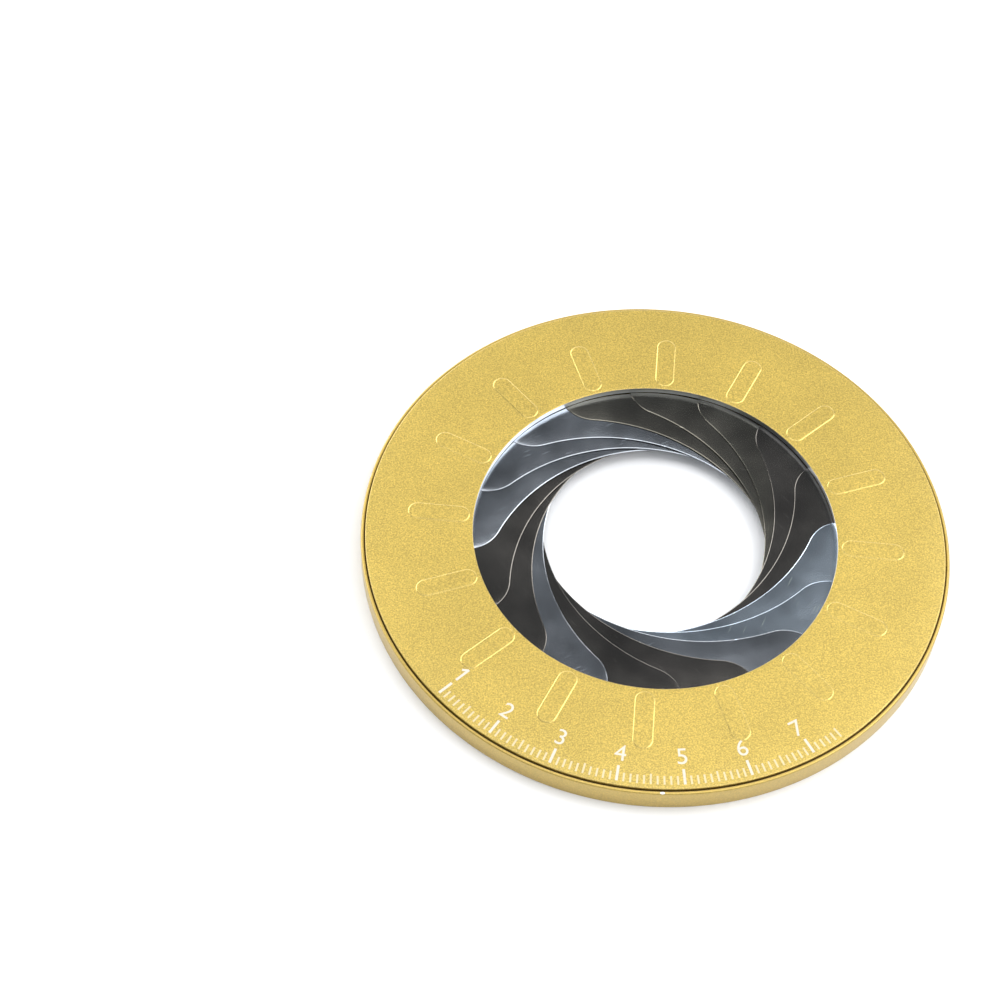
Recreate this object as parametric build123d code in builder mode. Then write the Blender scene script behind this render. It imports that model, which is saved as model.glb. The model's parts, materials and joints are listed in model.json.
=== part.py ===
from build123d import *

# Adjustable circle template: an iris of sixteen thin steel leaves in a flat gold ring.
# Turning the dial ring swings every leaf about its pivot pin in the base ring, and the
# leaves close or open one round hole whose diameter the dial shows against a dot.
# The origin is the centre of the base ring's underside, +Z is up and the dot is at -Y.

import math
import os

# ---- driving dimensions, in millimetres and degrees ----
OPENING_RADIUS = 38.5
RING_RADIUS = 62.1
DIAL_RADIUS = 61.15
RIM_GAP = 0.3

FLOOR = 1.0
WALL_INNER_RADIUS = 60.0
DIAL_THICKNESS = 1.4
DIAL_LIFT = 0.03
RIM_DROP = 0.5
EDGE_WIDTH = 0.3
EDGE_FALL = 0.12
RIM_FILLET = 0.3
FOOT_CHAMFER = 0.15

LEAVES = 16
LEAF_THICKNESS = 0.08
LEAF_STEP = 0.12
LEAF_HALF_WIDTH = 8.0
LEAF_INNER_RADIUS = 41.0
LEAF_SWEEP = 131.0
LEAF_CLEARANCE = 0.06
SECTION_ANGLE = 6.0

PIN_RADIUS = 0.75
SPIGOT_RADIUS = 0.5
PIVOT_HOLE_DEPTH = 0.7
PIN_CLEARANCE = 0.05

SLOT_WIDTH = 4.2
SLOT_INNER_END = 39.3
SLOT_OUTER_END = 52.5
SLOT_DEPTH = 1.0
PAD_HEIGHT = 0.1
PAD_SLOPE = 70.0
FIRST_SLOT_ANGLE = 265.8

# the scale on the dial: degrees of dial for each centimetre of hole diameter
DEGREES_PER_CM = 12.9
REST_DIAMETER = 46.7
SMALLEST_DIAMETER = 10.0
# a leaf turns this much for each degree of the dial
LEAF_RATIO = 0.475
# the guide pins sit this far to one side of their slots at rest, to share out their stray
PIN_OFFSET = 0.2

WIRE_RADIUS = 0.3
WIRE_GROOVE_RADIUS = 0.35
WIRE_GAP_ANGLE = 6.0
WIRE_DROP = 0.98

DOT_LENGTH = 1.0
DOT_WIDTH = 0.44
DOT_DEPTH = 0.25

# ---- the leaf linkage ----
PITCH = 360 / LEAVES
PIN_CIRCLE = LEAF_INNER_RADIUS + LEAF_HALF_WIDTH
CAP_ANGLE = math.degrees(LEAF_HALF_WIDTH / PIN_CIRCLE)


def leaf_turn(diameter):
    """Degrees a leaf has turned inwards, from its place along the ring, at this hole diameter."""
    shift = LEAF_INNER_RADIUS - diameter / 2
    return 2 * math.degrees(math.asin(shift / (2 * PIN_CIRCLE)))


REST_TURN = leaf_turn(REST_DIAMETER)
CLOSING_DIAL = DEGREES_PER_CM * (REST_DIAMETER - SMALLEST_DIAMETER) / 10
CLOSED_TURN = REST_TURN + LEAF_RATIO * CLOSING_DIAL
CLOSED_SHIFT = 2 * PIN_CIRCLE * math.sin(math.radians(CLOSED_TURN / 2))
STEEPNESS = CLOSED_SHIFT / LEAF_INNER_RADIUS
STEEPEST_ANGLE = 90 - CLOSED_TURN / 2

# centre of the first leaf's arc, and its two pins, at rest
ARC_X = PIN_CIRCLE * (1 - math.cos(math.radians(REST_TURN)))
ARC_Y = -PIN_CIRCLE * math.sin(math.radians(REST_TURN))
GUIDE_DIRECTION = math.radians(REST_TURN + LEAF_SWEEP)
GUIDE_X = ARC_X + PIN_CIRCLE * math.cos(GUIDE_DIRECTION)
GUIDE_Y = ARC_Y + PIN_CIRCLE * math.sin(GUIDE_DIRECTION)
GUIDE_RADIUS = math.hypot(GUIDE_X, GUIDE_Y)
GUIDE_ANGLE = math.degrees(math.atan2(GUIDE_Y, GUIDE_X))
FIRST_PIVOT_ANGLE = FIRST_SLOT_ANGLE - GUIDE_ANGLE - math.degrees(PIN_OFFSET / GUIDE_RADIUS)


def leaf_climb(angle):
    """Height a leaf has climbed at this angle round its arc, measured from its steepest place.

    A leaf passes over the next one everywhere in the fan, so it climbs by one leaf step for
    each pitch of turn about the ring's centre. Closed, the ring's centre lies close to the
    leaf's edge, so the climb is the integral of 1 / (1 - steepness * cos(angle)).
    """
    stretch = math.sqrt((1 + STEEPNESS) / (1 - STEEPNESS))
    half = math.radians(angle - STEEPEST_ANGLE) / 2
    swept = 2 / math.sqrt(1 - STEEPNESS**2) * math.atan(stretch * math.tan(half))
    return LEAF_STEP * math.degrees(swept) / PITCH


# ---- heights ----
LOW_END = FLOOR + LEAF_CLEARANCE - leaf_climb(-CAP_ANGLE)
PIVOT_HEIGHT = LOW_END + leaf_climb(0)
GUIDE_HEIGHT = LOW_END + leaf_climb(LEAF_SWEEP)
LEAF_TOP = LOW_END + leaf_climb(LEAF_SWEEP + CAP_ANGLE) + LEAF_THICKNESS
DIAL_BOTTOM = LEAF_TOP + LEAF_CLEARANCE
DIAL_TOP = DIAL_BOTTOM + DIAL_THICKNESS
LEDGE = DIAL_BOTTOM - DIAL_LIFT
RIM_INNER_RADIUS = DIAL_RADIUS + RIM_GAP
RIM_TOP = DIAL_TOP - RIM_DROP
WIRE_CIRCLE = DIAL_RADIUS + RIM_GAP / 2
WIRE_HEIGHT = DIAL_TOP - WIRE_DROP
DOT_CIRCLE = (RIM_INNER_RADIUS + RING_RADIUS) / 2
SLOT_LENGTH = SLOT_OUTER_END - SLOT_INNER_END
SLOT_MIDDLE = (SLOT_OUTER_END + SLOT_INNER_END) / 2


def base_ring():
    """The floor that holds the pivot pins, with the wall, ledge and rim round the dial."""
    with BuildPart() as base:
        with BuildSketch(Plane.XZ):
            with BuildLine():
                Polyline(
                    (OPENING_RADIUS, 0),
                    (RING_RADIUS, 0),
                    (RING_RADIUS, RIM_TOP),
                    (RIM_INNER_RADIUS, RIM_TOP),
                    (RIM_INNER_RADIUS, LEDGE),
                    (WALL_INNER_RADIUS, LEDGE),
                    (WALL_INNER_RADIUS, FLOOR),
                    (OPENING_RADIUS, FLOOR),
                    close=True,
                )
            make_face()
        revolve(axis=Axis.Z)
        outer = base.edges().filter_by(GeomType.CIRCLE).filter_by(lambda e: e.radius > RING_RADIUS - 0.01)
        fillet(outer.sort_by(Axis.Z)[-1], radius=RIM_FILLET)
        outer = base.edges().filter_by(GeomType.CIRCLE).filter_by(lambda e: e.radius > RING_RADIUS - 0.01)
        chamfer(outer.sort_by(Axis.Z)[0], length=FOOT_CHAMFER)
        with BuildSketch(Plane.XY.offset(FLOOR)):
            with PolarLocations(PIN_CIRCLE, LEAVES, start_angle=FIRST_PIVOT_ANGLE):
                Circle(PIN_RADIUS + PIN_CLEARANCE)
        extrude(amount=-PIVOT_HOLE_DEPTH, mode=Mode.SUBTRACT)
        with BuildSketch(Plane.XZ):
            with Locations((WIRE_CIRCLE, WIRE_HEIGHT)):
                Circle(WIRE_GROOVE_RADIUS)
        revolve(axis=Axis.Z, mode=Mode.SUBTRACT)
        with BuildSketch(Plane.XY.offset(RIM_TOP)):
            with Locations((0, -DOT_CIRCLE)):
                SlotOverall(DOT_LENGTH, DOT_WIDTH)
        extrude(amount=-DOT_DEPTH, mode=Mode.SUBTRACT)
    return base


def index_dot():
    """The white enamel that fills the short dimple on the rim."""
    with BuildPart() as dot:
        with BuildSketch(Plane.XY.offset(RIM_TOP - DOT_DEPTH)):
            with Locations((0, -DOT_CIRCLE)):
                SlotOverall(DOT_LENGTH, DOT_WIDTH)
        extrude(amount=DOT_DEPTH)
    return dot


def retaining_ring():
    """The split wire ring that snaps into the facing grooves of the rim and the dial."""
    with BuildPart() as wire:
        with BuildSketch(Plane.XZ):
            with Locations((WIRE_CIRCLE, WIRE_HEIGHT)):
                Circle(WIRE_RADIUS)
        revolve(axis=Axis.Z, revolution_arc=360 - WIRE_GAP_ANGLE)
    return wire


def dial_ring():
    """The turning face plate, with a pad over each blind slot that guides a leaf."""
    with BuildPart() as dial:
        with BuildSketch(Plane.XZ):
            with BuildLine():
                Polyline(
                    (OPENING_RADIUS, DIAL_BOTTOM),
                    (DIAL_RADIUS, DIAL_BOTTOM),
                    (DIAL_RADIUS, DIAL_TOP - EDGE_FALL),
                    (DIAL_RADIUS - EDGE_WIDTH, DIAL_TOP),
                    (OPENING_RADIUS + EDGE_WIDTH, DIAL_TOP),
                    (OPENING_RADIUS, DIAL_TOP - EDGE_FALL),
                    close=True,
                )
            make_face()
        revolve(axis=Axis.Z)
        with BuildSketch(Plane.XY.offset(DIAL_TOP)):
            with PolarLocations(SLOT_MIDDLE, LEAVES, start_angle=FIRST_SLOT_ANGLE):
                SlotOverall(SLOT_LENGTH, SLOT_WIDTH)
        extrude(amount=PAD_HEIGHT, taper=PAD_SLOPE)
        with BuildSketch(Plane.XY.offset(DIAL_BOTTOM)):
            with PolarLocations(SLOT_MIDDLE, LEAVES, start_angle=FIRST_SLOT_ANGLE):
                SlotOverall(SLOT_LENGTH, SLOT_WIDTH)
        extrude(amount=SLOT_DEPTH, mode=Mode.SUBTRACT)
        with BuildSketch(Plane.XZ):
            with Locations((WIRE_CIRCLE, WIRE_HEIGHT)):
                Circle(WIRE_GROOVE_RADIUS)
        revolve(axis=Axis.Z, mode=Mode.SUBTRACT)
    return dial


def leaf_plane(angle, height):
    """The upright plane through a leaf's arc centre at this angle round the arc, at rest."""
    turn = math.radians(REST_TURN + angle)
    outwards = (math.cos(turn), math.sin(turn), 0)
    backwards = (math.sin(turn), -math.cos(turn), 0)
    return Plane(origin=(ARC_X, ARC_Y, height), x_dir=outwards, z_dir=backwards)


def leaf_blank():
    """The first leaf: a thin ramp lofted round its arc, cut to a round-ended band with two holes."""
    first = -CAP_ANGLE - SECTION_ANGLE
    sections = math.ceil((LEAF_SWEEP - 2 * first) / SECTION_ANGLE)
    step = (LEAF_SWEEP - 2 * first) / sections
    outline = Plane(
        origin=(ARC_X, ARC_Y, 0),
        x_dir=(math.cos(math.radians(REST_TURN)), math.sin(math.radians(REST_TURN)), 0),
        z_dir=(0, 0, 1),
    )
    with BuildPart() as blank:
        for number in range(sections + 1):
            angle = first + number * step
            with BuildSketch(leaf_plane(angle, LOW_END + leaf_climb(angle))):
                with Locations((PIN_CIRCLE, LEAF_THICKNESS / 2)):
                    Rectangle(2 * LEAF_HALF_WIDTH + 2, LEAF_THICKNESS)
        loft()
        with BuildSketch(outline):
            with BuildLine(mode=Mode.PRIVATE):
                middle = CenterArc((0, 0), PIN_CIRCLE, 0, LEAF_SWEEP)
            SlotArc(middle, 2 * LEAF_HALF_WIDTH)
        extrude(amount=DIAL_TOP, mode=Mode.INTERSECT)
        with BuildSketch():
            with Locations((PIN_CIRCLE, 0), (GUIDE_X, GUIDE_Y)):
                Circle(SPIGOT_RADIUS)
        extrude(amount=DIAL_TOP, mode=Mode.SUBTRACT)
    return blank


def shouldered_pin(x, y, shoulder, tip, flush):
    """A round pin from its tip to its shoulder, with a thinner spigot on to its flush end."""
    with BuildPart() as pin:
        with BuildSketch(Plane.XY.offset(tip)):
            with Locations((x, y)):
                Circle(PIN_RADIUS)
        extrude(amount=shoulder - tip)
        with BuildSketch(Plane.XY.offset(shoulder)):
            with Locations((x, y)):
                Circle(SPIGOT_RADIUS)
        extrude(amount=flush - shoulder)
    return pin


def turned(shape, angle):
    """A copy of a piece, turned about the ring's axis."""
    with BuildPart() as copy:
        add(shape.part, rotation=(0, 0, angle))
    return copy


def write(piece, name):
    """Labels a piece and writes its file."""
    piece.part.label = name
    export_step(piece.part, f"parts/{name}.step")


os.makedirs("parts", exist_ok=True)

write(base_ring(), "base_ring")
write(dial_ring(), "dial_ring")
write(retaining_ring(), "retaining_ring")
write(index_dot(), "index_dot")

blank = leaf_blank()
pivot = shouldered_pin(
    x=PIN_CIRCLE,
    y=0,
    shoulder=PIVOT_HEIGHT,
    tip=FLOOR - PIVOT_HOLE_DEPTH + PIN_CLEARANCE,
    flush=PIVOT_HEIGHT + LEAF_THICKNESS,
)
guide = shouldered_pin(
    x=GUIDE_X,
    y=GUIDE_Y,
    shoulder=GUIDE_HEIGHT + LEAF_THICKNESS,
    tip=DIAL_BOTTOM + SLOT_DEPTH - PIN_CLEARANCE,
    flush=GUIDE_HEIGHT,
)
for number in range(LEAVES):
    place = FIRST_PIVOT_ANGLE + number * PITCH
    write(turned(blank, place), f"leaf_{number + 1:02d}")
    write(turned(pivot, place), f"pivot_pin_{number + 1:02d}")
    write(turned(guide, place), f"guide_pin_{number + 1:02d}")
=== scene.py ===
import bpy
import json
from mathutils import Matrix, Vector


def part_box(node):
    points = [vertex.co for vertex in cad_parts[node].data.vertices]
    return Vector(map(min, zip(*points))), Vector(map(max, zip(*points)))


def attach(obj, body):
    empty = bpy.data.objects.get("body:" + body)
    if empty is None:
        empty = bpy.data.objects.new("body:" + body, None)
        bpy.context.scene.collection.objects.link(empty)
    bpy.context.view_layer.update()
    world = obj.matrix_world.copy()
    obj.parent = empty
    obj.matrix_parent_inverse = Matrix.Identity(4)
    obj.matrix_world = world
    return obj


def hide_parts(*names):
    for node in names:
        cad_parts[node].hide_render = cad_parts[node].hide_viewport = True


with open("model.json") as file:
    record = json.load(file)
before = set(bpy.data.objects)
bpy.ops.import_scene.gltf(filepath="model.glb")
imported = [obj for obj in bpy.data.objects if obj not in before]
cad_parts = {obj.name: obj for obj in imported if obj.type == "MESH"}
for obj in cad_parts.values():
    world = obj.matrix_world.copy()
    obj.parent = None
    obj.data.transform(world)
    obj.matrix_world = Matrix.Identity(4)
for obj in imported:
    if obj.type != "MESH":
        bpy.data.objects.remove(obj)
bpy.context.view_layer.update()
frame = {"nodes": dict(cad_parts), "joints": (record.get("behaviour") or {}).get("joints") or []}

import json
import math

import bmesh
import bpy
import numpy as np
from mathutils import Euler, Vector

bl_info = {
    "name": "Adjustable circle template",
    "version": (1, 0, 0),
    "blender": (4, 5, 0),
    "location": "View3D > Sidebar > Circle template",
    "description": "Builds an iris of thin steel leaves in a turning gold ring, for drawing circles",
    "category": "Object",
}

MM = 0.001
LEAVES = sum(1 for name in frame["nodes"] if name.startswith("leaf_"))
PITCH = math.tau / LEAVES
BASE_LOW, BASE_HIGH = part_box("base_ring")
DIAL_LOW, DIAL_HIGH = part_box("dial_ring")
LEAF_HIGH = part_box("leaf_01")[1]
RIM_TOP = BASE_HIGH.z
DIAL_BOTTOM = DIAL_LOW.z
# points round the ring in one pitch; a pocketed face's sector has this many on each side
SECTOR_POINTS = 32
# each leaf has one of four tones of one steel: 0 dark, 1 plain, 2 rubbed, 3 bright; the tones are partly
# real finish and partly painted reflection, for how each slightly bent leaf tilts to the light
PAINTED_LEAF_TONE = (0, 0, 2, 3, 3, 0, 0, 1, 1, 1, 2, 2, 2, 0, 0, 2)
# vertices closer than this are one
WELD = 0.0015 * MM
SMOOTH_ANGLE = math.radians(28)


def joint(name):
    """A joint of the frame, by name."""
    return next(entry for entry in frame["joints"] if entry["name"] == name)


def pivot_turn(number):
    """Direction of a leaf's pivot from the axis, as an angle from +X."""
    x, y = joint(f"leaf_{number}_swing")["pos_m"][:2]
    return math.atan2(y, x)


def linear(hex_colour):
    """An sRGB hex colour as linear red, green, blue and alpha: the standard sRGB curve undone."""
    shares = [int(hex_colour[i : i + 2], 16) / 255 for i in (1, 3, 5)]
    return [s / 12.92 if s <= 0.04045 else ((s + 0.055) / 1.055) ** 2.4 for s in shares] + [1.0]


def length(name, description, default):
    """A size property in metres."""
    return bpy.props.FloatProperty(
        name=name, description=description, default=default, min=0, precision=6, unit="LENGTH"
    )


def angle(name, description, degrees):
    """An angle property, given in degrees."""
    return bpy.props.FloatProperty(
        name=name, description=description, default=math.radians(degrees), unit="ROTATION"
    )


def colour(name, description, hex_colour):
    """A colour property, given as sRGB hex."""
    return bpy.props.FloatVectorProperty(
        name=name, description=description, default=linear(hex_colour), size=4, min=0, max=1,
        subtype="COLOR",
    )


class RingSizes(bpy.types.PropertyGroup):
    opening: length("Opening radius", "Radius of the hole through the floor and the dial", 38.5 * MM)
    outside: length("Outside radius", "Radius of the base ring's side", round(BASE_HIGH.x, 4))
    dial: length("Dial radius", "Radius of the dial's edge", 61.15 * MM)
    rim_inside: length("Rim inside radius", "Radius of the rim's wall round the dial", 61.45 * MM)
    wall_inside: length("Wall inside radius", "Radius of the wall round the leaves", 60 * MM)
    floor: length("Floor thickness", "Thickness of the floor under the leaves", 1.0 * MM)
    ledge_drop: length("Ledge gap", "Gap between the ledge and the dial", 0.03 * MM)
    rim_round: length("Rim rounding", "Radius of the rim's outer top edge", 0.34 * MM)
    foot_bevel: length("Foot bevel", "Bevel round the underside", 0.15 * MM)
    edge_width: length("Dial edge width", "Width of the slope at the dial's two top edges", 0.34 * MM)
    edge_fall: length("Dial edge fall", "Height of the slope at the dial's two top edges", 0.13 * MM)
    pad_rise: length("Pad rise", "Height of a slot pad over the dial's face", 0.1 * MM)
    pad_slope: length("Pad slope", "Width of the slope round a slot pad", 0.27 * MM)
    slot_width: length("Slot width", "Width of a slot and of its pad", 4.2 * MM)
    slot_start: length("Slot inner end", "Distance of a slot's inner end from the axis", 39.3 * MM)
    slot_end: length("Slot outer end", "Distance of a slot's outer end from the axis", 52.5 * MM)
    slot_depth: length("Slot depth", "Depth of a slot in the dial's underside", 1.0 * MM)
    slot_turn: angle("First slot", "Direction of the first slot", 265.8)
    base_soften: length("Base edge softening", "Bevel on the base ring's inner edges", 0.06 * MM)
    dial_soften: length("Dial edge softening", "Bevel on the dial's two lower edges", 0.05 * MM)
    hole: length("Pivot hole radius", "Radius of a pivot pin's blind hole", 0.8 * MM)
    hole_depth: length("Pivot hole depth", "Depth of a pivot pin's blind hole", 0.7 * MM)
    groove: length("Groove radius", "Radius of the round groove for the retaining ring", 0.35 * MM)
    groove_drop: length("Groove drop", "Distance of the groove below the dial's face", 0.98 * MM)


class LeafSizes(bpy.types.PropertyGroup):
    inside: length("Leaf inner radius", "Radius of a leaf's inner edge", 41 * MM)
    half_width: length("Leaf half width", "Half the width of a leaf, and its end radius", 8 * MM)
    sweep: angle("Leaf sweep", "Angle from the pivot pin to the guide pin round a leaf's arc", 131)
    thickness: length("Leaf thickness", "Thickness of a leaf", 0.08 * MM)
    step: length("Leaf step", "Least height between one leaf and the next", 0.12 * MM)
    roll: length("Edge roll", "Width of the sheared slope along a leaf's edges", 0.19 * MM)
    rest_hole: length("Hole radius at rest", "Radius of the drawn circle at rest", 23.35 * MM)
    ratio: bpy.props.FloatProperty(
        name="Leaf ratio", description="Turn of a leaf for each degree of the dial's turn",
        default=0.475,
    )


class ScaleSizes(bpy.types.PropertyGroup):
    per_mark: angle("Turn per centimetre", "Turn of the dial for one centimetre of diameter", 12.9)
    first: bpy.props.FloatProperty(name="First mark", description="First centimetre", default=1.0)
    last: bpy.props.FloatProperty(name="Last mark", description="Last tick in centimetres", default=7.5)
    reading: bpy.props.FloatProperty(name="Reading", description="Reading at rest", default=4.67)
    outer: length("Tick outer end", "Radius of the ticks' outer ends", 60.2 * MM)
    minor: length("Minor tick length", "Length of a millimetre tick", 1.9 * MM)
    half: length("Half tick length", "Length of a half-centimetre tick", 2.3 * MM)
    major: length("Major tick length", "Length of a centimetre tick", 3.4 * MM)
    minor_width: length("Minor tick width", "Width of a millimetre tick", 0.4 * MM)
    major_width: length("Major tick width", "Width of a centimetre tick", 0.55 * MM)
    numeral_foot: length("Numeral foot radius", "Radius of the numerals' feet", 55.7 * MM)
    numeral_height: length("Numeral height", "Height of a numeral", 3.5 * MM)
    ink: length("Ink thickness", "Height of the print over the dial's face", 0.012 * MM)
    dot_length: length("Dot length", "Length of the white dot along the rim", 1.0 * MM)
    dot_width: length("Dot width", "Width of the white dot across the rim", 0.5 * MM)
    dot_rise: length("Dot rise", "Height of the dot's crown over its wall", 0.1 * MM)


class Finishes(bpy.types.PropertyGroup):
    gold: colour("Gold", "Gold dye of the blasted dial", "#C6AE59")
    gold_rim: colour("Rim gold", "Gold dye of the turned base ring", "#C3A854")
    # the four leaf steels are one steel in four tones: partly real finish, partly painted reflection of how
    # each leaf tilts to the light
    steel_dark: colour("Dark leaf steel", "Darkest leaves, painted darker for how their reflection falls", "#6C6965")
    steel_plain: colour("Leaf steel", "Leaves of the middle tone", "#737169")
    steel_rubbed: colour("Rubbed leaf steel", "Leaves with a rubbed, greyer face, painted lighter for how their reflection falls", "#A9AFB7")
    steel_bright: colour("Bright leaf steel", "Brightest leaves, painted lighter for how their reflection falls", "#BFCCD9")
    bare: colour("Bare aluminium", "Turned wall of the dial's bore", "#DCE2EA")
    pin: colour("Pin steel", "Turned steel of the pins", "#9A9A98")
    wire: colour("Wire steel", "Drawn spring wire", "#4E3F28")
    ink: colour("White ink", "Printed ticks and numerals", "#D8D2C3")
    fine_ink: colour("Thin ink", "Printed millimetre ticks, where the ink is thinner", "#D6C8A0")
    enamel: colour("White enamel", "Dot on the rim", "#FFFFFF")
    floor: colour("Floor", "Pale floor", "#F8FAFD")


class StageSizes(bpy.types.PropertyGroup):
    azimuth: angle("Azimuth", "Direction the camera looks from, from the front", -0.9)
    elevation: angle("Elevation", "Height of the camera's line over the floor", 54.4)
    roll: angle("Roll", "Turn of the camera about its line", 2.33)
    distance: length("Distance", "From the camera to the point it looks at", 469.4 * MM)
    aim_left: length("Aim left", "How far left of the axis the camera looks", 32.8 * MM)
    aim_back: length("Aim back", "How far behind the axis the camera looks", 6.8 * MM)
    lens: bpy.props.FloatProperty(
        name="Lens", description="Focal length on a 36 mm sensor", default=79.4, unit="CAMERA"
    )
    floor_size: length("Floor size", "Half the width of the floor", 4.0)
    lamp_distance: length("Lamp distance", "From the ring's centre to each lamp", 1.1)


# ---- meshes ----


def build_mesh(name, points, faces, body, material):
    """A welded closed mesh on a body. Points is an array of places and faces a list of corners."""
    mesh = bpy.data.meshes.new(name)
    mesh.from_pydata(np.asarray(points, float).reshape(-1, 3).tolist(), [], faces)
    work = bmesh.new()
    work.from_mesh(mesh)
    bmesh.ops.remove_doubles(work, verts=work.verts, dist=WELD)
    bmesh.ops.dissolve_degenerate(work, edges=work.edges, dist=WELD / 10)
    bmesh.ops.recalc_face_normals(work, faces=work.faces)
    work.to_mesh(mesh)
    work.free()
    mesh.polygons.foreach_set("use_smooth", [True] * len(mesh.polygons))
    mesh.set_sharp_from_angle(angle=SMOOTH_ANGLE)
    piece = bpy.data.objects.new(name, mesh)
    bpy.context.scene.collection.objects.link(piece)
    mesh.materials.append(material)
    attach(piece, body)
    return piece


def grid_faces(sheets, rows, columns, wrap):
    """Four-cornered faces of grids laid one after another, each of rows by columns points.

    Each face joins a point to the next in its row and to the two after them in the next row. With
    wrap, the last column is joined to the first.
    """
    across = columns if wrap else columns - 1
    sheet, row, column = np.meshgrid(
        np.arange(sheets), np.arange(rows - 1), np.arange(across), indexing="ij"
    )
    start = sheet * rows * columns + row * columns
    here = start + column
    beside = start + (column + 1) % columns
    return np.stack([here, beside, beside + columns, here + columns], axis=-1).reshape(-1, 4)


def lathe(profile, turn):
    """Carries a profile round the axis: its radius times the cosine and sine of each angle."""
    steps = LEAVES * SECTOR_POINTS
    angles = turn - PITCH / 2 + np.arange(steps) * math.tau / steps
    radius = profile[:, 0, None]
    points = np.stack(
        [radius * np.cos(angles), radius * np.sin(angles), profile[:, 1, None] + 0 * angles], axis=-1
    )
    return points, grid_faces(1, len(profile), steps, True)


def sector_outline(inner, outer):
    """Points round one pitch of a flat ring, in the sector's own frame, X outwards.

    The inner arc, one straight side, the outer arc and the other side have the same number of
    points, evenly spaced, so that sectors share the points of their sides.
    """
    share = np.arange(SECTOR_POINTS) / SECTOR_POINTS
    sweep = PITCH * (share - 0.5)
    side = inner + (outer - inner) * share
    radius = np.concatenate([inner + 0 * share, side, outer + 0 * share, side[0] + outer - side])
    turn = np.concatenate([sweep, 0 * share + PITCH / 2, -sweep, 0 * share - PITCH / 2])
    return np.stack([radius * np.cos(turn), radius * np.sin(turn)], axis=-1)


def pocketed_face(inner, outer, height, near, far, steps, turn):
    """A flat ring with one round-ended pocket or pad in each pitch.

    Each point of a sector's outline is joined to the nearest point of the pocket's middle line,
    from near to far along X. Each step (distance, height) is the point at that distance from the
    middle line on that join, so the steps are the pocket's or the pad's outlines, one inside
    another, down to the middle line itself.
    """
    outline = sector_outline(inner, outer)
    middle = np.stack([np.clip(outline[:, 0], near, far), 0 * outline[:, 0]], axis=-1)
    out = outline - middle
    out /= np.linalg.norm(out, axis=1)[:, None]
    rows = [np.column_stack([outline, np.full(len(outline), height)])]
    for distance, level in steps:
        rows.append(np.column_stack([middle + distance * out, np.full(len(outline), level)]))
    sector = np.stack(rows)
    turns = turn + PITCH * np.arange(LEAVES)
    c, s = np.cos(turns)[:, None, None], np.sin(turns)[:, None, None]
    x, y, z = sector[..., 0], sector[..., 1], sector[..., 2]
    points = np.stack([c * x - s * y, s * x + c * y, z + 0 * c], axis=-1)
    return points, grid_faces(LEAVES, len(rows), len(outline), True)


def joined(parts):
    """Several grids as one list of points and one of faces."""
    points, faces, count = [], [], 0
    for part_points, part_faces in parts:
        flat = part_points.reshape(-1, 3)
        points.append(flat)
        faces.append(part_faces + count)
        count += len(flat)
    return np.concatenate(points), np.concatenate(faces).tolist()


def bend(centre, radius, start, end, count=7):
    """Points (radius, height) along a circle's arc, angles in degrees."""
    turn = np.radians(np.linspace(start, end, count))
    return np.stack([centre[0] + radius * np.cos(turn), centre[1] + radius * np.sin(turn)], axis=-1)


def groove_arc(wall, centre, radius, count=9):
    """The part of a groove's circle that lies behind a wall at this radius, from bottom to top."""
    reach = math.degrees(math.acos((wall - centre[0]) / radius))
    if wall > centre[0]:
        return bend(centre, radius, -reach, reach, count)
    return bend(centre, radius, 360 - reach, reach, count)


def leaf_turn(sizes, hole):
    """Angle a leaf has turned inwards at this hole radius: twice the arcsine of the shift over 2 R."""
    circle = sizes.inside + sizes.half_width
    return 2 * math.asin((sizes.inside - hole) / (2 * circle))


def leaf_climb(sizes, turn, closing):
    """Height climbed round the arc, from the steepest place: the integral of 1 / (1 - k cos)."""
    circle = sizes.inside + sizes.half_width
    closed = leaf_turn(sizes, sizes.rest_hole) + sizes.ratio * closing
    k = 2 * circle * math.sin(closed / 2) / sizes.inside
    stretch = math.sqrt((1 + k) / (1 - k))
    half = (turn - (math.pi / 2 - closed / 2)) / 2
    return sizes.step / PITCH * 2 / math.sqrt(1 - k * k) * np.arctan(stretch * np.tan(half))


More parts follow.
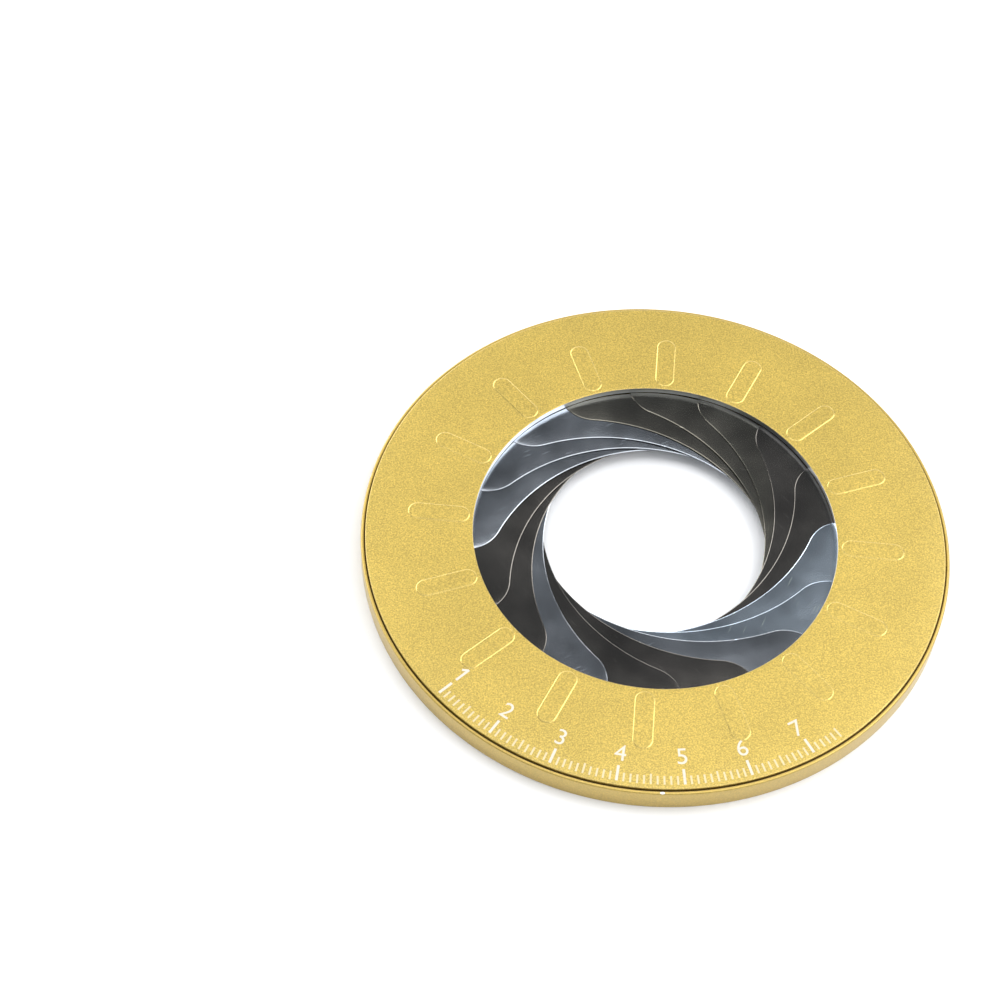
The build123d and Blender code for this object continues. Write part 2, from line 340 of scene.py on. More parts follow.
def leaf_grid(sizes, closing, high_end):
    """The first leaf at rest, as a closed grid, with its pivot pin on +X.

    Along the leaf, the angle u runs round its arc from one rounded end to the other, closer
    together near the ends. Across it, the edges are the arc plus and minus the half width, and at
    the ends the rounded ends' circle: R cos d plus and minus the root of w squared less R sin d
    squared, for the angle d past the pin. The height is the climb at u. Shearing the leaf from
    its strip rolls the top face over along the edges; the lower face stays flat.
    """
    circle, wide = sizes.inside + sizes.half_width, sizes.half_width
    past, end_points, arc_points = math.asin(wide / circle), 14, 90
    ends = past * np.sin(np.linspace(0, math.pi / 2, end_points))
    arc = np.linspace(0, sizes.sweep, arc_points)[1:-1]
    u = np.concatenate([-ends[::-1], arc, sizes.sweep + ends])
    d = np.maximum(0, np.maximum(-u, u - sizes.sweep))
    half = np.sqrt(np.maximum(0, wide**2 - (circle * np.sin(d)) ** 2))
    centre = circle * np.cos(d)
    # the rolled edge: how far in from the edge each row lies, and how far under the top face
    roll = sizes.roll * np.array([0, 0.15, 0.5, 0.8, 1.0])
    fall = sizes.thickness * np.array([0.9, 0.72, 0.36, 0.1, 0])
    inner = centre[:, None] - half[:, None] + np.minimum(roll, half[:, None])
    outer = centre[:, None] + half[:, None] - np.minimum(roll, half[:, None])
    quarters = np.array([0.25, 0.5, 0.75])
    body = inner[:, -1:] + (outer[:, -1:] - inner[:, -1:]) * quarters
    radius = np.concatenate([inner, body, outer[:, ::-1]], axis=1)
    top_fall = np.concatenate([fall, 0 * quarters, fall[::-1]])
    climb = leaf_climb(sizes, u, closing)
    low = high_end - sizes.thickness - climb[-1]
    upper = low + climb[:, None] + sizes.thickness - top_fall
    lower = low + climb[:, None] + 0 * top_fall
    around = np.concatenate([radius, radius[:, ::-1]], axis=1)
    height = np.concatenate([upper, lower[:, ::-1]], axis=1)
    rest = leaf_turn(sizes, sizes.rest_hole)
    x = circle * (1 - math.cos(rest)) + around * np.cos(u + rest)[:, None]
    y = -circle * math.sin(rest) + around * np.sin(u + rest)[:, None]
    points = np.stack([x, y, height], axis=-1)
    return points, grid_faces(1, len(u), points.shape[1], True)


def turned(points, turn):
    """Points turned about the axis."""
    c, s = math.cos(turn), math.sin(turn)
    x, y, z = points[..., 0], points[..., 1], points[..., 2]
    return np.stack([c * x - s * y, s * x + c * y, z], axis=-1)


# ---- materials ----


def add(tree, kind, inputs=None, links=None, **settings):
    """Adds a node, sets its settings and input values, and links (input: output) pairs."""
    node = tree.nodes.new(kind)
    for key, value in settings.items():
        setattr(node, key, value)
    for key, value in (inputs or {}).items():
        node.inputs[key].default_value = value
    for key, output in (links or {}).items():
        tree.links.new(output, node.inputs[key])
    return node


def new_material(name, **shader):
    """A material with only an output and a shader. Returns it, its tree and the shader."""
    material = bpy.data.materials.new(name)
    material.use_nodes = True
    tree = material.node_tree
    tree.nodes.clear()
    surface = add(tree, "ShaderNodeBsdfPrincipled", inputs=shader)
    add(tree, "ShaderNodeOutputMaterial", links={"Surface": surface.outputs["BSDF"]})
    return material, tree, surface


def shade(base, factor):
    """A colour made lighter or darker."""
    return [min(1.0, channel * factor) for channel in base[:3]] + [1.0]


def ramp(tree, value, stops):
    """A colour ramp over a value; stops are (place, colour)."""
    node = add(tree, "ShaderNodeValToRGB", links={"Fac": value})
    band = node.color_ramp
    while len(band.elements) < len(stops):
        band.elements.new(0.5)
    for element, (place, tint) in zip(band.elements, stops):
        element.position = place
        element.color = tint
    return node


# oxide with a dye in it, over metal: the metal is seen through a clear film with a white shine of its own
FILM = 0.8
ANODISED = {"Metallic": 1.0, "Roughness": 0.48, "Coat Weight": FILM, "Coat Roughness": 0.3, "Coat IOR": 1.6}


def blasted_gold(name, base, bare, bore, pad_low, pad_high):
    """Gold anodised aluminium, blasted before anodising.

    Each blast pit tips the metal its own way, so neighbouring specks shine and darken. The wall
    inside the bore's radius was turned after anodising, so it is smooth bare metal without a
    film. The slopes of the slot pads, between the heights pad_low and pad_high, are rubbed
    smooth. A pit of 0.05 mm is too fine to show, so the grain is drawn at 0.32 mm.
    """
    grain, patch_size, smoothed = 0.32 * MM, 14 * MM, 0.28
    material, tree, surface = new_material(name, **ANODISED)
    place = add(tree, "ShaderNodeTexCoord").outputs["Object"]
    fine = add(
        tree, "ShaderNodeTexNoise", links={"Vector": place},
        inputs={"Scale": 1 / grain, "Detail": 3.0, "Roughness": 0.6},
    )
    specks = add(
        tree, "ShaderNodeTexVoronoi", links={"Vector": place}, inputs={"Scale": 1 / (0.9 * grain)},
    )
    patch = add(
        tree, "ShaderNodeTexNoise", links={"Vector": place},
        inputs={"Scale": 1 / patch_size, "Detail": 2.0},
    )
    # the fine grain's specks are made lighter and darker in colour as well as bumped: painted sparkle, the
    # shine and dark of each pit's tilt, carried into the dye colour below
    tint = ramp(
        tree, fine.outputs["Fac"], [(0.3, shade(base, 0.70)), (0.5, base), (0.72, shade(base, 1.42))]
    )
    cloud = ramp(tree, patch.outputs["Fac"], [(0.35, [0.93, 0.93, 0.93, 1]), (0.65, [1, 1, 1, 1])])
    dye_and_painted_sparkle = add(
        tree, "ShaderNodeMix", data_type="RGBA", blend_type="MULTIPLY",
        links={"A": tint.outputs["Color"], "B": cloud.outputs["Color"]}, inputs={"Factor": 1.0},
    )
    flat = add(
        tree, "ShaderNodeVectorMath", operation="MULTIPLY", links={0: place}, inputs={1: (1, 1, 0)}
    )
    radius = add(tree, "ShaderNodeVectorMath", operation="LENGTH", links={0: flat.outputs["Vector"]})
    wall = add(
        tree, "ShaderNodeMath", operation="LESS_THAN",
        links={0: radius.outputs["Value"]}, inputs={1: bore},
    )
    mixed = add(
        tree, "ShaderNodeMix", data_type="RGBA", inputs={"B": bare},
        links={"Factor": wall.outputs["Value"], "A": dye_and_painted_sparkle.outputs["Result"]},
    )
    tree.links.new(mixed.outputs["Result"], surface.inputs["Base Color"])
    gloss = ramp(
        tree, specks.outputs["Distance"], [(0.0, [0.42, 0.42, 0.42, 1]), (0.7, [0.6, 0.6, 0.6, 1])]
    )
    high = add(tree, "ShaderNodeSeparateXYZ", links={0: place}).outputs["Z"]
    rubbed = add(
        tree, "ShaderNodeMath", operation="COMPARE", links={0: high},
        inputs={1: (pad_low + pad_high) / 2, 2: (pad_high - pad_low) / 2},
    )
    smooth = add(
        tree, "ShaderNodeMath", operation="MAXIMUM",
        links={0: wall.outputs["Value"], 1: rubbed.outputs["Value"]},
    )
    rough = add(
        tree, "ShaderNodeMix", data_type="FLOAT", inputs={"B": smoothed},
        links={"Factor": smooth.outputs["Value"], "A": gloss.outputs["Color"]},
    )
    tree.links.new(rough.outputs["Result"], surface.inputs["Roughness"])
    film = add(
        tree, "ShaderNodeMath", operation="MULTIPLY_ADD",
        links={0: wall.outputs["Value"]}, inputs={1: -FILM, 2: FILM},
    )
    tree.links.new(film.outputs["Value"], surface.inputs["Coat Weight"])
    # full pits on the face, a tenth of them where it is smooth
    pits = add(
        tree, "ShaderNodeMath", operation="MULTIPLY_ADD",
        links={0: smooth.outputs["Value"]}, inputs={1: -0.9, 2: 1.0},
    )
    bump = add(
        tree, "ShaderNodeBump", links={"Height": fine.outputs["Fac"], "Strength": pits.outputs["Value"]},
        inputs={"Distance": 0.06 * MM},
    )
    tree.links.new(bump.outputs["Normal"], surface.inputs["Normal"])
    return material


def turned_gold(name, base):
    """Gold anodised aluminium turned on a lathe, then lightly blasted: smoother than the dial."""
    material, tree, surface = new_material(name, **ANODISED)
    place = add(tree, "ShaderNodeTexCoord").outputs["Object"]
    fine = add(
        tree, "ShaderNodeTexNoise", links={"Vector": place},
        inputs={"Scale": 1 / (0.35 * MM), "Detail": 2.0},
    )
    tint = ramp(
        tree, fine.outputs["Fac"], [(0.3, shade(base, 0.88)), (0.5, base), (0.7, shade(base, 1.12))]
    )
    tree.links.new(tint.outputs["Color"], surface.inputs["Base Color"])
    # the tool's marks run round the ring, so they hardly change but with height, every 0.12 mm
    long, high = 50 * MM, 0.12 * MM
    squeeze = add(
        tree, "ShaderNodeMapping", links={"Vector": place},
        inputs={"Scale": (1 / long, 1 / long, 1 / high)},
    )
    marks = add(
        tree, "ShaderNodeTexNoise", links={"Vector": squeeze.outputs["Vector"]},
        inputs={"Scale": 1.0, "Detail": 2.0},
    )
    bump = add(
        tree, "ShaderNodeBump", links={"Height": marks.outputs["Fac"]},
        inputs={"Strength": 0.25, "Distance": 0.01 * MM},
    )
    grain = add(
        tree, "ShaderNodeBump",
        links={"Height": fine.outputs["Fac"], "Normal": bump.outputs["Normal"]},
        inputs={"Strength": 0.2, "Distance": 0.02 * MM},
    )
    tree.links.new(grain.outputs["Normal"], surface.inputs["Normal"])
    return material


# a wiped film of oil over steel scatters a little of the light around
OILED = {"Metallic": 1.0, "Roughness": 0.2, "Coat Weight": 0.2, "Coat Roughness": 0.5, "Coat IOR": 1.5}


def rolled_steel(name, base, rubbing):
    """Cold rolled spring steel: a soft mirror.

    The rolls leave it smooth, so it mirrors the room with soft edges. Broad haze clouds it, short
    fine scratches run along one angle, in degrees, and a few specks of dust lie on it.
    """
    material, tree, surface = new_material(name, **OILED)
    place = add(tree, "ShaderNodeTexCoord").outputs["Object"]
    haze = add(
        tree, "ShaderNodeTexNoise", links={"Vector": place},
        inputs={"Scale": 1 / (13 * MM), "Detail": 2.5, "Roughness": 0.55},
    )
    cloud = ramp(tree, haze.outputs["Fac"], [(0.3, shade(base, 0.74)), (0.7, shade(base, 1.28))])
    # scratches 4 mm long, drawn 0.35 mm wide so that they show
    squeeze = add(
        tree, "ShaderNodeMapping", vector_type="TEXTURE", links={"Vector": place},
        inputs={"Rotation": (0, 0, math.radians(rubbing)), "Scale": (0.35 * MM, 4 * MM, 4 * MM)},
    )
    lines = add(
        tree, "ShaderNodeTexNoise", links={"Vector": squeeze.outputs["Vector"]},
        inputs={"Scale": 1.0, "Detail": 0.0},
    )
    scratch = ramp(tree, lines.outputs["Fac"], [(0.745, [0, 0, 0, 1]), (0.84, [1, 1, 1, 1])])
    scratched = add(
        tree, "ShaderNodeMix", data_type="RGBA", inputs={"B": shade(base, 1.7)},
        links={"Factor": scratch.outputs["Color"], "A": cloud.outputs["Color"]},
    )
    # a speck about 0.3 mm across wherever the middle of a 12 mm cell comes close to the leaf
    cells = add(
        tree, "ShaderNodeTexVoronoi", links={"Vector": place}, inputs={"Scale": 1 / (12 * MM)}
    )
    dust = ramp(tree, cells.outputs["Distance"], [(0.010, [1, 1, 1, 1]), (0.018, [0, 0, 0, 1])])
    dusty = add(
        tree, "ShaderNodeMix", data_type="RGBA", inputs={"B": [0.9, 0.9, 0.9, 1]},
        links={"Factor": dust.outputs["Color"], "A": scratched.outputs["Result"]},
    )
    tree.links.new(dusty.outputs["Result"], surface.inputs["Base Color"])
    gloss = ramp(
        tree, haze.outputs["Fac"], [(0.35, [0.19, 0.19, 0.19, 1]), (0.7, [0.24, 0.24, 0.24, 1])]
    )
    tree.links.new(gloss.outputs["Color"], surface.inputs["Roughness"])
    return material


def plain_metal(name, base, roughness, grain):
    """Turned or drawn metal: a dull grey shine, mottled by faint tool marks of this size."""
    material, tree, surface = new_material(name, Metallic=1.0, Roughness=roughness)
    place = add(tree, "ShaderNodeTexCoord").outputs["Object"]
    marks = add(
        tree, "ShaderNodeTexNoise", links={"Vector": place}, inputs={"Scale": 1 / grain, "Detail": 2.0}
    )
    tint = ramp(tree, marks.outputs["Fac"], [(0.3, shade(base, 0.8)), (0.7, shade(base, 1.1))])
    tree.links.new(tint.outputs["Color"], surface.inputs["Base Color"])
    return material


def printed_white(name, base, roughness, thin):
    """White ink or enamel over gold. Where the ink is thin the gold under it warms it."""
    material, tree, surface = new_material(name, Roughness=roughness, IOR=1.5)
    place = add(tree, "ShaderNodeTexCoord").outputs["Object"]
    cover = add(
        tree, "ShaderNodeTexNoise", links={"Vector": place},
        inputs={"Scale": 1 / (0.35 * MM), "Detail": 3.0},
    )
    tint = ramp(tree, cover.outputs["Fac"], [(0.28, thin), (0.45, base)])
    tree.links.new(tint.outputs["Color"], surface.inputs["Base Color"])
    return material


def pale_sheet(name, base):
    """A matt sheet, almost even, so that only soft shadows show on it."""
    material, tree, surface = new_material(name, Roughness=0.7)
    place = add(tree, "ShaderNodeTexCoord").outputs["Object"]
    cloud = add(tree, "ShaderNodeTexNoise", links={"Vector": place}, inputs={"Scale": 3.0})
    tint = ramp(tree, cloud.outputs["Fac"], [(0.2, shade(base, 0.985)), (0.8, base)])
    tree.links.new(tint.outputs["Color"], surface.inputs["Base Color"])
    return material


# ---- operators, one for each piece or group of like pieces ----


class CIRCLE_OT_base_ring(bpy.types.Operator):
    """Make the base ring: floor with pivot holes, wall, ledge and rim"""

    bl_idname = "circle.base_ring"
    bl_label = "Base ring"

    def execute(self, context):
        sizes, leaf = context.scene.ring_sizes, context.scene.leaf_sizes
        ledge = DIAL_BOTTOM - sizes.ledge_drop
        face = DIAL_HIGH.z - sizes.pad_rise
        hub = ((sizes.dial + sizes.rim_inside) / 2, face - sizes.groove_drop)
        softened = sizes.base_soften
        profile = np.concatenate([
            [(sizes.opening, sizes.floor - softened), (sizes.opening, softened)],
            [(sizes.opening + softened, 0), (sizes.outside - sizes.foot_bevel, 0)],
            [(sizes.outside, sizes.foot_bevel)],
            bend((sizes.outside - sizes.rim_round, RIM_TOP - sizes.rim_round), sizes.rim_round, 0, 90),
            [(sizes.rim_inside + softened, RIM_TOP), (sizes.rim_inside, RIM_TOP - softened)],
            groove_arc(sizes.rim_inside, hub, sizes.groove)[::-1],
            [(sizes.rim_inside, ledge), (sizes.wall_inside, ledge), (sizes.wall_inside, sizes.floor)],
        ])
        turn = pivot_turn("01")
        circle = leaf.inside + leaf.half_width
        margin, bottom = 1.5 * sizes.hole, sizes.floor - sizes.hole_depth
        floor = pocketed_face(
            sizes.opening + softened, sizes.wall_inside, sizes.floor, circle, circle,
            [(margin, sizes.floor), (sizes.hole, sizes.floor), (sizes.hole, bottom), (0, bottom)],
            turn,
        )
        lip = np.array([(sizes.opening + softened, sizes.floor), (sizes.opening, sizes.floor - softened)])
        points, faces = joined([lathe(profile, turn), lathe(lip, turn), floor])
        material = turned_gold("Gold anodised turned aluminium", context.scene.finishes.gold_rim)
        piece = build_mesh("ring_body", points, faces, "base", material)
        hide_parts("base_ring")
        return {"FINISHED"}


class CIRCLE_OT_dial_ring(bpy.types.Operator):
    """Make the dial ring: a face plate with a raised pad over each blind slot"""

    bl_idname = "circle.dial_ring"
    bl_label = "Dial ring"

    def execute(self, context):
        sizes = context.scene.ring_sizes
        face = DIAL_HIGH.z - sizes.pad_rise
        width, fall = sizes.edge_width, sizes.edge_fall
        hub = ((sizes.dial + sizes.rim_inside) / 2, face - sizes.groove_drop)
        half = sizes.slot_width / 2
        near, far = sizes.slot_start + half, sizes.slot_end - half
        softened = sizes.dial_soften
        top = pocketed_face(
            sizes.opening + width, sizes.dial - width, face, near, far, self.pad(sizes, half, face),
            sizes.slot_turn,
        )
        margin, ceiling = half + 0.1 * MM, DIAL_BOTTOM + sizes.slot_depth
        under = pocketed_face(
            sizes.opening + softened, sizes.dial - softened, DIAL_BOTTOM, near, far,
            [(margin, DIAL_BOTTOM), (half, DIAL_BOTTOM), (half, ceiling), (0, ceiling)],
            sizes.slot_turn,
        )
        bore = np.concatenate([
            [(sizes.opening + softened, DIAL_BOTTOM), (sizes.opening, DIAL_BOTTOM + softened)],
            self.edge(sizes.opening, width, face, fall),
        ])
        edge = np.concatenate([
            self.edge(sizes.dial, -width, face, fall)[::-1],
            groove_arc(sizes.dial, hub, sizes.groove)[::-1],
            [(sizes.dial, DIAL_BOTTOM + softened), (sizes.dial - softened, DIAL_BOTTOM)],
        ])
        points, faces = joined(
            [top, under, lathe(bore, sizes.slot_turn), lathe(edge, sizes.slot_turn)]
        )
        finishes = context.scene.finishes
        rise = sizes.pad_rise
        material = blasted_gold(
            "Gold anodised blasted aluminium", finishes.gold, finishes.bare,
            sizes.opening + 0.02 * MM, face + 0.1 * rise, face + 0.9 * rise,
        )
        piece = build_mesh("dial_plate", points, faces, "dial", material)
        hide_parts("dial_ring")
        return {"FINISHED"}

    def edge(self, wall, width, face, fall):
        """A rounded top edge, from the wall in to the face: a quarter of an ellipse."""
        turn = np.linspace(0, math.pi / 2, 6)
        return np.column_stack([
            wall + width * (1 - np.cos(turn)), face - fall * (1 - np.sin(turn)),
        ])

    def pad(self, sizes, half, face):
        """Outlines of a pad, from the face in to its middle.

        Its slope rises as 3 s squared less 2 s cubed, s being the share of the slope's width, so
        both its corners are soft.
        """
        share = np.array([0, 0.12, 0.3, 0.5, 0.7, 0.88, 1.0])
        rise = share**2 * (3 - 2 * share)
        slope = np.column_stack([half - sizes.pad_slope * share, face + sizes.pad_rise * rise])
        margin, top = half + 0.15 * MM, face + sizes.pad_rise
        return [(margin, face), *slope, (half - 2 * sizes.pad_slope, top), (0, top)]


class CIRCLE_OT_leaves(bpy.types.Operator):
    """Make the thin steel leaves of the iris"""

    bl_idname = "circle.leaves"
    bl_label = "Leaves"

    def execute(self, context):
        sizes = context.scene.leaf_sizes
        closing = math.radians(joint("dial_turn")["range_deg"][1])
        points, faces = leaf_grid(sizes, closing, LEAF_HIGH.z)
        faces = faces.tolist()
        finishes = context.scene.finishes
        # four tones of one steel, partly finish and partly painted reflection; the scratches of each tone
        # run along their own angle
        leaf_tones = [
            rolled_steel("Cold rolled spring steel, painted dark", finishes.steel_dark, 40),
            rolled_steel("Cold rolled spring steel", finishes.steel_plain, 75),
            rolled_steel("Cold rolled spring steel, rubbed, painted light", finishes.steel_rubbed, -62),
            rolled_steel("Cold rolled spring steel, painted bright", finishes.steel_bright, -24),
        ]
        for index in range(LEAVES):
            number = f"{index + 1:02d}"
            piece = build_mesh(
                f"blade_{number}_steel", turned(points, pivot_turn(number)), faces,
                f"blade_{number}", leaf_tones[PAINTED_LEAF_TONE[index]],
            )
            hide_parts(f"leaf_{number}")
        return {"FINISHED"}


class CIRCLE_OT_hardware(bpy.types.Operator):
    """Finish the pins and the retaining ring"""

    bl_idname = "circle.hardware"
    bl_label = "Pins and retaining ring"

    def execute(self, context):
        finishes = context.scene.finishes
        pin = plain_metal("Turned steel pin", finishes.pin, 0.3, 0.2 * MM)
        wire = plain_metal("Drawn spring wire", finishes.wire, 0.4, 0.3 * MM)
        for name, node in frame["nodes"].items():
            if "_pin_" in name:
                node.data.materials.clear()
                node.data.materials.append(pin)
        ring = frame["nodes"]["retaining_ring"]
        ring.data.materials.clear()
        ring.data.materials.append(wire)
        return {"FINISHED"}


class CIRCLE_OT_index_dot(bpy.types.Operator):
    """Make the white enamel dot on the rim"""

    bl_idname = "circle.index_dot"
    bl_label = "Index dot"

    def execute(self, context):
        low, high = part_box("index_dot")
        sizes = context.scene.scale_sizes
        middle = (low + high) / 2
        # a bead: a short wall, then a cap that falls from its crown as a quarter of an ellipse
        out = np.cos(np.linspace(0, math.pi / 2, 8))
        share = np.concatenate([[0, 1], out])[:, None]
        height = np.concatenate([[low.z, low.z], high.z + sizes.dot_rise * np.sqrt(1 - out**2)])
        turn = np.linspace(0, math.tau, 48, endpoint=False)
        points = np.stack([
            middle.x + share * np.cos(turn) * sizes.dot_length / 2,
            middle.y + share * np.sin(turn) * sizes.dot_width / 2,
            height[:, None] + 0 * turn,
        ], axis=-1)
        faces = grid_faces(1, len(height), len(turn), True).tolist()
        enamel = context.scene.finishes.enamel
        material = printed_white("White enamel", enamel, 0.3, enamel)
        piece = build_mesh("enamel_dot", points, faces, "base", material)
        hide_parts("index_dot")
        return {"FINISHED"}


class CIRCLE_OT_scale_print(bpy.types.Operator):
    """Print the ticks and the numerals on the dial"""

    bl_idname = "circle.scale_print"
    bl_label = "Printed scale"

    def execute(self, context):
        sizes, rings = context.scene.scale_sizes, context.scene.ring_sizes
        face = DIAL_HIGH.z - rings.pad_rise
        finishes = context.scene.finishes
        ink = printed_white("White screen ink", finishes.ink, 0.45, shade(finishes.ink, 0.85))
        fine_ink = printed_white(
            "White screen ink, thin", finishes.fine_ink, 0.45, shade(finishes.fine_ink, 0.85)
        )
        marks = np.arange(round(sizes.first * 10), round(sizes.last * 10) + 1)
        major = marks % 10 == 0
        fine = marks[~major]
        fine_length = np.where(fine % 10 == 5, sizes.half, sizes.minor)
        self.ticks("scale_ticks", sizes, marks[major], sizes.major, sizes.major_width, face, ink)
        self.ticks("scale_ticks_fine", sizes, fine, fine_length, sizes.minor_width, face, fine_ink)
        for value in range(math.ceil(sizes.first), math.floor(sizes.last) + 1):
            self.numeral(sizes, value, face, ink)
        return {"FINISHED"}

    def ticks(self, name, sizes, marks, long, wide, face, material):
        """Ticks as boxes: inner or outer end, left or right side, under or over the face."""
        long = np.broadcast_to(long, marks.shape)[:, None]
        ends = sizes.outer - long * np.array([1, 0, 0, 1, 1, 0, 0, 1])
        sides = wide / 2 * np.array([-1, -1, 1, 1, -1, -1, 1, 1])
        heights = face + sizes.ink * np.array([-1, -1, -1, -1, 1, 1, 1, 1]) + 0 * ends
        turn = self.direction(sizes, marks / 10)[:, None]
        points = np.stack([
            ends * np.cos(turn) - sides * np.sin(turn),
            ends * np.sin(turn) + sides * np.cos(turn),
            heights,
        ], axis=-1)
        box = np.array([(0, 3, 2, 1), (4, 5, 6, 7), (0, 1, 5, 4), (1, 2, 6, 5), (2, 3, 7, 6), (3, 0, 4, 7)])
        faces = (8 * np.arange(len(marks))[:, None, None] + box).reshape(-1, 4).tolist()
        build_mesh(name, points, faces, "dial", material)

    def direction(self, sizes, value):
        """Direction of a mark at rest: the front, plus the turn for its distance from the reading."""
        return -math.pi / 2 + sizes.per_mark * (value - sizes.reading)

    def numeral(self, sizes, value, face, material):
        """One numeral, its head towards the axis, as a thin closed slab of ink."""
        places, faces = self.upright() if value == 1 else self.glyph(value)
        x, y = places[:, 0] * sizes.numeral_height, places[:, 1] * sizes.numeral_height
        z = face + sizes.ink * np.sign(places[:, 2])
        turn = self.direction(sizes, value) + math.pi / 2
        placed = turned(np.stack([x, y - sizes.numeral_foot, z], axis=-1), turn)
        build_mesh(f"numeral_{value}", placed, faces, "dial", material)

    def upright(self):
        """The figure 1 at unit height, as a slab: an upright with a slanted flag, from its foot."""
        outline = np.array([
            (0.075, 0), (0.075, 1), (-0.06, 1), (-0.33, 0.76), (-0.24, 0.65), (-0.075, 0.79), (-0.075, 0),
        ])
        count = len(outline)
        levels = np.repeat([-1, 1], count)
        places = np.column_stack([np.concatenate([outline, outline]), levels])
        here = np.arange(count)
        beside = np.roll(here, -1)
        walls = np.stack([here, beside, count + beside, count + here], axis=-1)
        return places, [here[::-1].tolist(), (count + here).tolist(), *walls.tolist()]

    def glyph(self, value):
        """A figure of the plain default type at unit height, centred, as a slab."""
        text = bpy.data.curves.new(f"numeral_{value}_text", "FONT")
        text.body = str(value)
        text.extrude = 0.5
        text.resolution_u = 6
        holder = bpy.data.objects.new(text.name, text)
        bpy.context.scene.collection.objects.link(holder)
        bpy.context.view_layer.update()
        flat = bpy.data.meshes.new_from_object(holder.evaluated_get(bpy.context.evaluated_depsgraph_get()))
        bpy.data.objects.remove(holder)
        bpy.data.curves.remove(text)
        places = np.zeros(len(flat.vertices) * 3)
        flat.vertices.foreach_get("co", places)
        places = places.reshape(-1, 3)
        low, high = places.min(axis=0), places.max(axis=0)
        places -= [(low[0] + high[0]) / 2, low[1], 0]
        faces = [list(polygon.vertices) for polygon in flat.polygons]
        bpy.data.meshes.remove(flat)
        return places / (high[1] - low[1]), faces


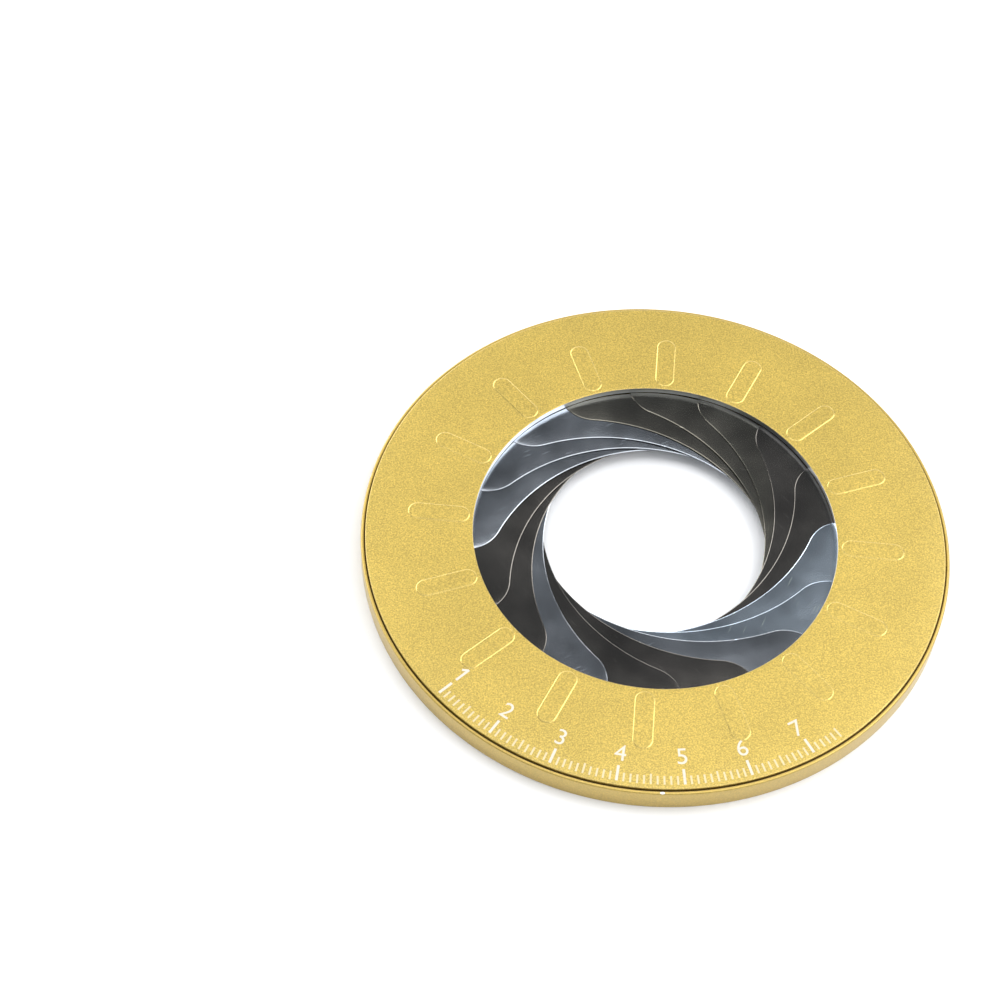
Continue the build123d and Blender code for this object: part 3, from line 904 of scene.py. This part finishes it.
class CIRCLE_OT_stage(bpy.types.Operator):
    """Lay the floor, light it and place the camera"""

    bl_idname = "circle.stage"
    bl_label = "Floor, lights and camera"

    def execute(self, context):
        sizes, finishes = context.scene.stage_sizes, context.scene.finishes
        self.floor(sizes, finishes)
        self.world(context)
        self.lights(sizes.lamp_distance)
        self.camera(context, sizes)
        return {"FINISHED"}

    def floor(self, sizes, finishes):
        """A flat square, a hair under the base ring so that the two faces don't meet."""
        reach, low = sizes.floor_size, BASE_LOW.z - 0.02 * MM
        mesh = bpy.data.meshes.new("floor_sheet")
        corners = [(-reach, -reach, low), (reach, -reach, low), (reach, reach, low), (-reach, reach, low)]
        mesh.from_pydata(corners, [], [(0, 1, 2, 3)])
        mesh.materials.append(pale_sheet("Matt white sheet", finishes.floor))
        floor = bpy.data.objects.new("floor_sheet", mesh)
        bpy.context.scene.collection.objects.link(floor)

    def world(self, context):
        """A dim grey-blue surround, which the leaves mirror."""
        world = bpy.data.worlds.new("studio")
        context.scene.world = world
        world.use_nodes = True
        tree = world.node_tree
        tree.nodes.clear()
        glow = add(
            tree, "ShaderNodeBackground", inputs={"Color": (0.86, 0.93, 1.0, 1), "Strength": 0.14}
        )
        add(tree, "ShaderNodeOutputWorld", links={"Surface": glow.outputs["Background"]})
        context.scene.view_settings.view_transform = "Standard"

    def lights(self, distance):
        """Lamps all round. The front one is weak, so that slopes that face the front stay dark."""
        self.soft_box("high_box", 80, 85, (1.0, 0.6), 5.2, distance)
        self.soft_box("right_box", 6, 46, (1.6, 0.6), 12.0, distance)
        self.soft_box("left_box", 142, 32, (1.4, 0.42), 9.0, distance)
        self.soft_box("back_strip", 90, 13, (1.6, 0.3), 5.0, distance)
        self.soft_box("front_box", -90, 50, (1.2, 0.5), 3.2, distance)

    def soft_box(self, name, azimuth, elevation, size, watts, distance):
        """A rectangular lamp that faces the ring's centre. Azimuth is from +X, both in degrees."""
        azimuth, elevation = math.radians(azimuth), math.radians(elevation)
        level = math.cos(elevation)
        place = Vector((level * math.cos(azimuth), level * math.sin(azimuth), math.sin(elevation)))
        lamp = bpy.data.lights.new(name, "AREA")
        lamp.shape = "RECTANGLE"
        lamp.size, lamp.size_y = size
        lamp.energy = watts
        lamp.color = (1.0, 0.99, 0.98)
        holder = bpy.data.objects.new(name, lamp)
        holder.location = place * distance
        holder.rotation_euler = (-place).to_track_quat("-Z", "Y").to_euler()
        bpy.context.scene.collection.objects.link(holder)

    def camera(self, context, sizes):
        """The camera, aimed at a point level with the dial's top, left of and behind the axis."""
        data = bpy.data.cameras.new("camera")
        data.sensor_width = 36
        data.lens = sizes.lens
        aim = Vector((-sizes.aim_left, sizes.aim_back, DIAL_HIGH.z))
        level = math.cos(sizes.elevation)
        back = Vector((
            math.sin(sizes.azimuth) * level, -math.cos(sizes.azimuth) * level, math.sin(sizes.elevation),
        ))
        camera = bpy.data.objects.new("camera", data)
        camera.location = aim + back * sizes.distance
        look = (-back).to_track_quat("-Z", "Y")
        camera.rotation_mode = "QUATERNION"
        camera.rotation_quaternion = look @ Euler((0, 0, sizes.roll)).to_quaternion()
        context.scene.collection.objects.link(camera)
        context.scene.camera = camera


class VIEW3D_PT_circle_template(bpy.types.Panel):
    bl_label = "Circle template"
    bl_space_type = "VIEW_3D"
    bl_region_type = "UI"
    bl_category = "Circle template"

    def draw(self, context):
        for operator in OPERATORS:
            self.layout.operator(operator.bl_idname)
        for name in GROUPS:
            column = self.layout.column(heading=name)
            group = getattr(context.scene, name)
            for key in group.bl_rna.properties.keys():
                if key not in ("rna_type", "name"):
                    column.prop(group, key)


GROUPS = {
    "ring_sizes": RingSizes,
    "leaf_sizes": LeafSizes,
    "scale_sizes": ScaleSizes,
    "finishes": Finishes,
    "stage_sizes": StageSizes,
}
OPERATORS = [
    CIRCLE_OT_base_ring,
    CIRCLE_OT_dial_ring,
    CIRCLE_OT_leaves,
    CIRCLE_OT_hardware,
    CIRCLE_OT_index_dot,
    CIRCLE_OT_scale_print,
    CIRCLE_OT_stage,
]


def register():
    for cls in [*GROUPS.values(), *OPERATORS, VIEW3D_PT_circle_template]:
        bpy.utils.register_class(cls)
    for name, group in GROUPS.items():
        setattr(bpy.types.Scene, name, bpy.props.PointerProperty(type=group))


def unregister():
    for name in GROUPS:
        delattr(bpy.types.Scene, name)
    for cls in reversed([*GROUPS.values(), *OPERATORS, VIEW3D_PT_circle_template]):
        bpy.utils.unregister_class(cls)


def main():
    register()
    bpy.ops.circle.base_ring()
    bpy.ops.circle.dial_ring()
    bpy.ops.circle.leaves()
    bpy.ops.circle.hardware()
    bpy.ops.circle.index_dot()
    bpy.ops.circle.scale_print()
    bpy.ops.circle.stage()


if __name__ == "__main__":
    main()
